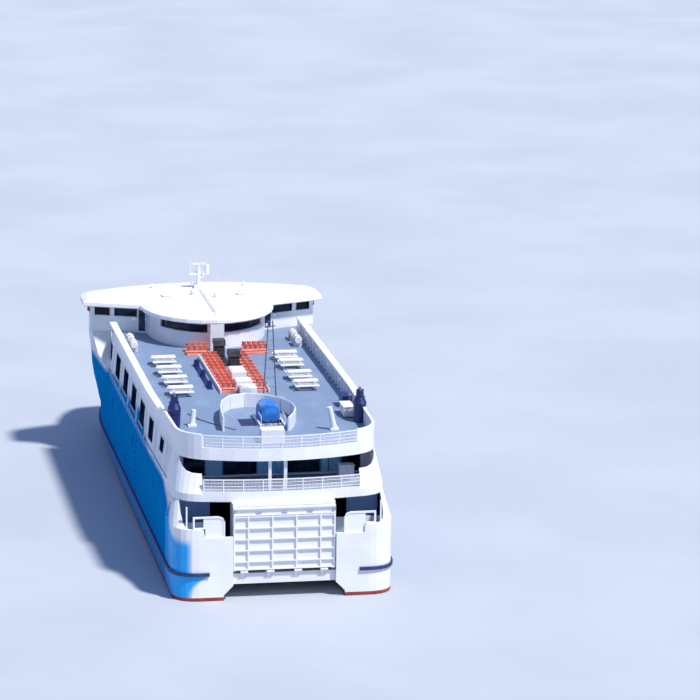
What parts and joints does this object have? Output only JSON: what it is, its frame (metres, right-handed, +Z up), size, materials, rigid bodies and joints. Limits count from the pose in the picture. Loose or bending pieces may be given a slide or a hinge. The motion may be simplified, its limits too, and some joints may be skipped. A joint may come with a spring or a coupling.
{
  "type": "twin-hulled car and passenger ferry, 1:2 scale model",
  "caption": "Twin-hulled car ferry with stern and bow ramp doors, passenger cabin, sun deck and winged bridge, as a half-size model.",
  "frame": {"origin": "on the waterline and the centreline, amidships", "axes": "+Y forward to the bow, +X to starboard, +Z up"},
  "size_m": [10.85, 30.47, 10.4113],
  "materials": {
    "white_paint": "gloss",
    "blue_paint": "gloss",
    "red_paint": "matte",
    "navy_paint": "satin",
    "dark_paint": "satin",
    "rail_paint": "satin",
    "deck_coating": "matte",
    "floor_coating": "matte",
    "window_glass": "gloss",
    "seat_plastic": "matte",
    "blue_canvas": "matte",
    "bronze": "satin",
    "shaft_steel": "satin"
  },
  "bodies": {
    "ship": {"hull_starboard": "blue_paint", "hull_port": "blue_paint", "cross_deck": "blue_paint", "vehicle_deck": "floor_coating", "quarter_starboard": "white_paint", "quarter_port": "white_paint", "side_starboard": "blue_paint", "side_port": "blue_paint", "stern_portal": "white_paint", "bow_portal": "white_paint", "fender_starboard": "navy_paint", "fender_port": "navy_paint", "mooring_guard_starboard": "white_paint", "mooring_guard_port": "white_paint", "passenger_deck": "white_paint", "balcony_bulwark_starboard": "white_paint", "balcony_bulwark_port": "white_paint", "balcony_rail": "rail_paint", "cabin_walls": "white_paint", "cabin_glazing": "window_glass", "bow_bulwark": "white_paint", "windlass": "dark_paint", "sun_deck": "deck_coating", "sun_bulwark_starboard": "white_paint", "sun_bulwark_port": "white_paint", "sun_rail": "rail_paint", "bridge_floor": "white_paint", "wheelhouse_walls": "white_paint", "wheelhouse_glazing": "window_glass", "bridge_roof": "white_paint", "aft_trunk": "white_paint", "roof_mast": "white_paint", "funnel_starboard": "navy_paint", "funnel_port": "navy_paint", "seat_block_port": "seat_plastic", "seat_block_starboard": "seat_plastic", "exhaust_hoods": "dark_paint", "tables_port": "white_paint", "tables_starboard": "white_paint", "deck_vents": "navy_paint", "stair_screen": "white_paint", "companion_hood": "blue_canvas", "aft_locker": "white_paint", "signal_mast": "rail_paint", "seat_rows_port": "seat_plastic", "seat_rows_starboard": "seat_plastic", "ventilator_port": "white_paint", "ventilator_starboard": "white_paint", "bollards_port": "dark_paint", "bollards_starboard": "dark_paint", "shaft_starboard": "shaft_steel", "shaft_port": "shaft_steel"},
    "stern_door_body": {"stern_door": "white_paint"},
    "bow_door_body": {"bow_door": "white_paint"},
    "propeller_starboard_body": {"propeller_starboard": "bronze"},
    "propeller_port_body": {"propeller_port": "bronze"},
    "rudder_starboard_body": {"rudder_starboard": "red_paint"},
    "rudder_port_body": {"rudder_port": "red_paint"},
    "radar_scanner_body": {"radar_scanner": "white_paint"}
  },
  "joints": [
    {"name": "stern_door_hinge", "type": "hinge", "parent": "ship", "child": "stern_door_body", "pos_m": [0, -14.97, 1.1], "axis": [1, 0, 0], "range_deg": [0, 95]},
    {"name": "bow_door_hinge", "type": "hinge", "parent": "ship", "child": "bow_door_body", "pos_m": [0, 15.195, 1.1], "axis": [-1, 0, 0], "range_deg": [0, 95]},
    {"name": "propeller_starboard_spin", "type": "hinge", "parent": "ship", "child": "propeller_starboard_body", "pos_m": [3.4375, -13.675, -0.875], "axis": [0, 1, 0], "continuous": true},
    {"name": "propeller_port_spin", "type": "hinge", "parent": "ship", "child": "propeller_port_body", "pos_m": [-3.4375, -13.675, -0.875], "axis": [0, 1, 0], "continuous": true},
    {"name": "rudder_starboard_turn", "type": "hinge", "parent": "ship", "child": "rudder_starboard_body", "pos_m": [3.4375, -14.55, -0.5], "axis": [0, 0, 1], "range_deg": [-35, 35]},
    {"name": "rudder_port_turn", "type": "hinge", "parent": "ship", "child": "rudder_port_body", "pos_m": [-3.4375, -14.55, -0.5], "axis": [0, 0, 1], "range_deg": [-35, 35]},
    {"name": "radar_spin", "type": "hinge", "parent": "ship", "child": "radar_scanner_body", "pos_m": [0, 9.475, 8.3], "axis": [0, 0, 1], "continuous": true}
  ]
}
